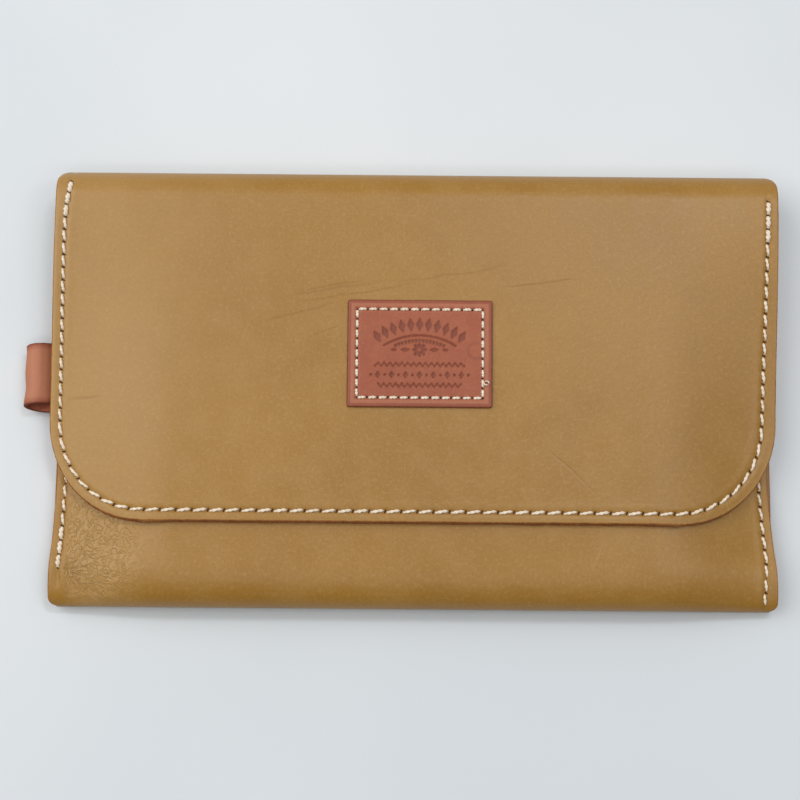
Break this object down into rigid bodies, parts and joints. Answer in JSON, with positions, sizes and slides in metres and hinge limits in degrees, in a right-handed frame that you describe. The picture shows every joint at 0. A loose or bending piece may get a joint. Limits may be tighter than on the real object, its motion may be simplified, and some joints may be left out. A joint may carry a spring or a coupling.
{
  "type": "long wallet",
  "caption": "Long leather wallet with a fold-over flap, sewn label patch, side strap loop, banknote compartment, card pockets and a zipped coin pocket.",
  "frame": {"origin": "centre of the back panel's flat outer face, with the wallet lying on its back", "axes": "+X to the wallet's right as its label is seen, along its width; +Y towards the top fold; +Z out of the front, through the closed flap"},
  "size_m": [0.2198, 0.128, 0.0192],
  "materials": {
    "tan_leather": "smooth waxed vegetable-tanned, light scratches and pull-up creases",
    "lining_leather": "thin, matte, fine grain",
    "red_brown_leather": "matte, fine grain",
    "thread": "waxed cream thread",
    "zip_tape": "woven herringbone tape",
    "brass": "satin",
    "magnet_metal": "nickel plated"
  },
  "bodies": {
    "body": {"outer_cover": "tan_leather", "back_lining": "lining_leather", "coin_pocket_rear": "lining_leather", "coin_pocket_front": "lining_leather", "card_pocket_top": "lining_leather", "card_pocket_middle": "lining_leather", "card_pocket_bottom": "lining_leather", "card_divider_stitching": "thread", "coin_pocket_stitching": "thread", "zipper_tape_upper": "zip_tape", "zipper_tape_lower": "zip_tape", "zipper_teeth_upper": "brass", "zipper_teeth_lower": "brass", "zipper_end_stops": "brass", "zipper_stitching": "thread", "left_seam_stitching": "thread", "right_seam_stitching": "thread", "strap_loop": "red_brown_leather", "front_magnet": "magnet_metal", "front_magnet_cover": "lining_leather"},
    "fold": {"fold_leather": "tan_leather", "fold_lining": "lining_leather"},
    "flap": {"flap_leather": "tan_leather", "flap_lining": "lining_leather", "flap_stitching": "thread", "flap_magnet": "magnet_metal", "label_patch": "red_brown_leather", "label_stitching": "thread"},
    "slider": {"zipper_slider": "brass"},
    "pull": {"zipper_pull": "brass"}
  },
  "joints": [
    {"name": "fold_hinge", "type": "hinge", "parent": "body", "child": "fold", "pos_m": [0, 0.06136, 0.00264], "axis": [-1, 0, 0], "range_deg": [0, 90]},
    {"name": "flap_hinge", "type": "hinge", "parent": "fold", "child": "flap", "pos_m": [0, 0.06136, 0.01536], "axis": [-1, 0, 0], "range_deg": [0, 90]},
    {"name": "zip_slide", "type": "slide", "parent": "body", "child": "slider", "axis": [-1, 0, 0], "range_m": [0, 0.15], "deforming": ["zipper_teeth_upper", "zipper_teeth_lower"]},
    {"name": "pull_hinge", "type": "hinge", "parent": "slider", "child": "pull", "pos_m": [0.075, 0.047, 0.00735], "axis": [0, 1, 0], "range_deg": [0, 30]}
  ],
  "couplings": [
    {"joint": "fold_hinge", "follows": "flap_hinge", "ratio": 1}
  ]
}
